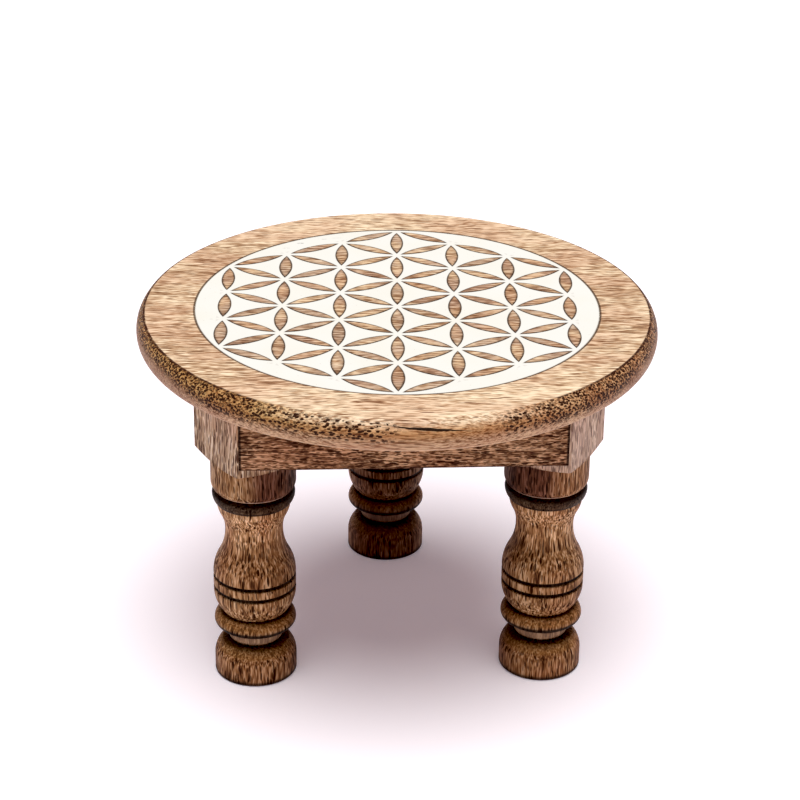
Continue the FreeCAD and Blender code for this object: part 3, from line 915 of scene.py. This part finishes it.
def fill_marks(f):
    """The strength of the grey marks in the white fill."""
    marks = 0.0
    for x, y, length, strength in FILL_MARKS:
        along = f.math("SUBTRACT", f.unsigned(f.math("SUBTRACT", f.x, x)), length / 2)
        across = f.unsigned(f.math("SUBTRACT", f.y, y))
        near = f.times(f.step(along, *MARK_ENDS_MM), f.step(across, *MARK_SIDES_MM))
        marks = f.math("ADD", f.times(near, strength), marks)
    return f.times(marks, f.patches(*MARK_PATCHES))


def fill_hairline_shadows(f):
    """1 in the hairline of painted shadow round the pocket, and less round the petals."""
    front = f.step(f.y, *HAIRLINE_FRONT_Y_MM)
    pocket_line = f.times(f.step(f.radius, *POCKET_LINE_MM), front)
    petal_line = f.step(petal_depth(f), *PETAL_LINE_DEPTHS_MM)
    return f.math("MAXIMUM", pocket_line, f.times(petal_line, PETAL_LINE_SHARE))


def white_fill():
    """The white fill, sanded with the wood: fine specks, faint scuffs and a grey hairline of painted shadow
    at its edges.
    """
    f = Finish("white_fill_sanded")
    clouds = f.patches(*CLOUD_PATCHES)
    specks = f.spindles(f.place, *SPECK_SPINDLES)
    scuffs = f.times(f.patches(*DUST_PATCHES), f.patches(*SCUFF_PATCHES))
    colour = f.mix(clouds, FILL_WHITE, FILL_CREAM)
    colour = f.coated(colour, specks, *SPECK_COAT)
    colour = f.coated(colour, scuffs, *SCUFF_COAT)
    # Painted shadow along the fill's edges
    colour = f.coated(colour, fill_hairline_shadows(f), *HAIRLINE_SHADOW_COAT)
    colour = f.mix(fill_marks(f), colour, MARK_COLOUR)
    lumps = f.noise(f.place, FILL_LUMP_MM, FILL_LUMP_MM, FILL_LUMP_DETAIL)
    relief = f.math("ADD", lumps, f.times(specks, SPECK_RELIEF))
    return f.finish(colour, f.level(clouds, *FILL_ROUGHNESS), relief, FILL_RELIEF_MM, FILL_SPECULAR)


def dowel_wood():
    """Plain pale hardwood rod."""
    f = Finish("dowel_rod")
    colour, pores, relief = wood(f, f.place, DOWEL_LOOK)
    return finish_wood(f, DOWEL_LOOK, colour, pores, relief)


# Zinc plating: its faint cast, and tool marks that run along the screw
CAST_PATCHES = (2.5, 3.0, 0.35, 0.7)
ZINC_YELLOW = srgb(206, 200, 178)
ZINC_GREY = srgb(176, 170, 158)
SCRATCH_LUMP_MM = (0.15, 3.0)
SCRATCH_LEVELS = (0.5, 0.75)
STEEL_ROUGHNESS = (0.3, 0.55)
STEEL_RELIEF_MM = 0.01


def screw_steel():
    """Zinc plated steel with fine tool marks and a faint yellow cast."""
    f = Finish("zinc_plated_steel")
    colour = f.mix(f.patches(*CAST_PATCHES), ZINC_YELLOW, ZINC_GREY)
    scratches = f.step(f.noise(f.place, *SCRATCH_LUMP_MM), *SCRATCH_LEVELS)
    f.feed(f.shader.inputs["Metallic"], 1.0)
    return f.finish(colour, f.level(scratches, *STEEL_ROUGHNESS), scratches, STEEL_RELIEF_MM)


def dress(node, material):
    """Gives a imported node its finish."""
    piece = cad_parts[node]
    for place in piece.material_slots:
        place.material = material


def dress_all():
    """Gives every node its finish."""
    dress("top_board", top_wood())
    dress("inlay", white_fill())
    for leg in LEG_WOODS:
        dress(leg, leg_wood(leg))
    for rail in RAIL_WOODS:
        dress(rail, rail_wood(rail))
    dress("apron_dowels", dowel_wood())
    dress("top_screws", screw_steel())


def add_floor():
    """A plain pale floor."""
    mesh = bpy.data.meshes.new("studio_floor")
    half = FLOOR_SIZE / 2
    corners = [(x * half, y * half, -FLOOR_DROP) for x, y in ((-1, -1), (1, -1), (1, 1), (-1, 1))]
    mesh.from_pydata(corners, [], [(0, 1, 2, 3)])
    floor = bpy.data.objects.new("studio_floor", mesh)
    bpy.context.scene.collection.objects.link(floor)
    material = bpy.data.materials.new("studio_floor_paper")
    material.use_nodes = True
    shader = material.node_tree.nodes["Principled BSDF"]
    shader.inputs["Base Color"].default_value = FLOOR_COLOUR
    shader.inputs["Roughness"].default_value = FLOOR_ROUGHNESS
    shader.inputs["Specular IOR Level"].default_value = FLOOR_SPECULAR
    shader.inputs["Emission Color"].default_value = FLOOR_GLOW_COLOUR
    shader.inputs["Emission Strength"].default_value = FLOOR_GLOW
    mesh.materials.append(material)


def add_light():
    """A broad soft light overhead and an even surround."""
    light = bpy.data.lights.new("key_light", "SUN")
    light.angle = KEY_SPREAD
    light.energy = KEY_STRENGTH
    key = bpy.data.objects.new("key_light", light)
    key.location = KEY_FROM
    key.rotation_euler = (-KEY_FROM).to_track_quat("-Z", "Y").to_euler()
    bpy.context.scene.collection.objects.link(key)

    world = bpy.data.worlds.new("studio_surround")
    world.use_nodes = True
    background = world.node_tree.nodes["Background"]
    background.inputs["Color"].default_value = SURROUND_COLOUR
    background.inputs["Strength"].default_value = SURROUND_STRENGTH
    bpy.context.scene.world = world


def add_camera():
    """The photograph's view."""
    data = bpy.data.cameras.new("photo_camera")
    data.lens = CAMERA_LENS_MM
    data.sensor_width = CAMERA_SENSOR_MM
    data.clip_end = FLOOR_SIZE * 2
    camera = bpy.data.objects.new("photo_camera", data)
    right = CAMERA_RIGHT.normalized()
    up = CAMERA_UP.normalized()
    turn = Matrix((right, up, right.cross(up))).transposed()
    camera.matrix_world = Matrix.Translation(CAMERA_PLACE) @ turn.to_4x4()
    bpy.context.scene.collection.objects.link(camera)
    bpy.context.scene.camera = camera


def set_picture():
    """Plain screen colours, with the darkest tones taken down to black as in the photograph."""
    picture = bpy.context.scene.view_settings
    picture.view_transform = "Standard"
    picture.use_curve_mapping = True
    picture.curve_mapping.black_level = (BLACK_POINT, BLACK_POINT, BLACK_POINT)
    picture.curve_mapping.update()


dress_all()
add_floor()
add_light()
add_camera()
set_picture()
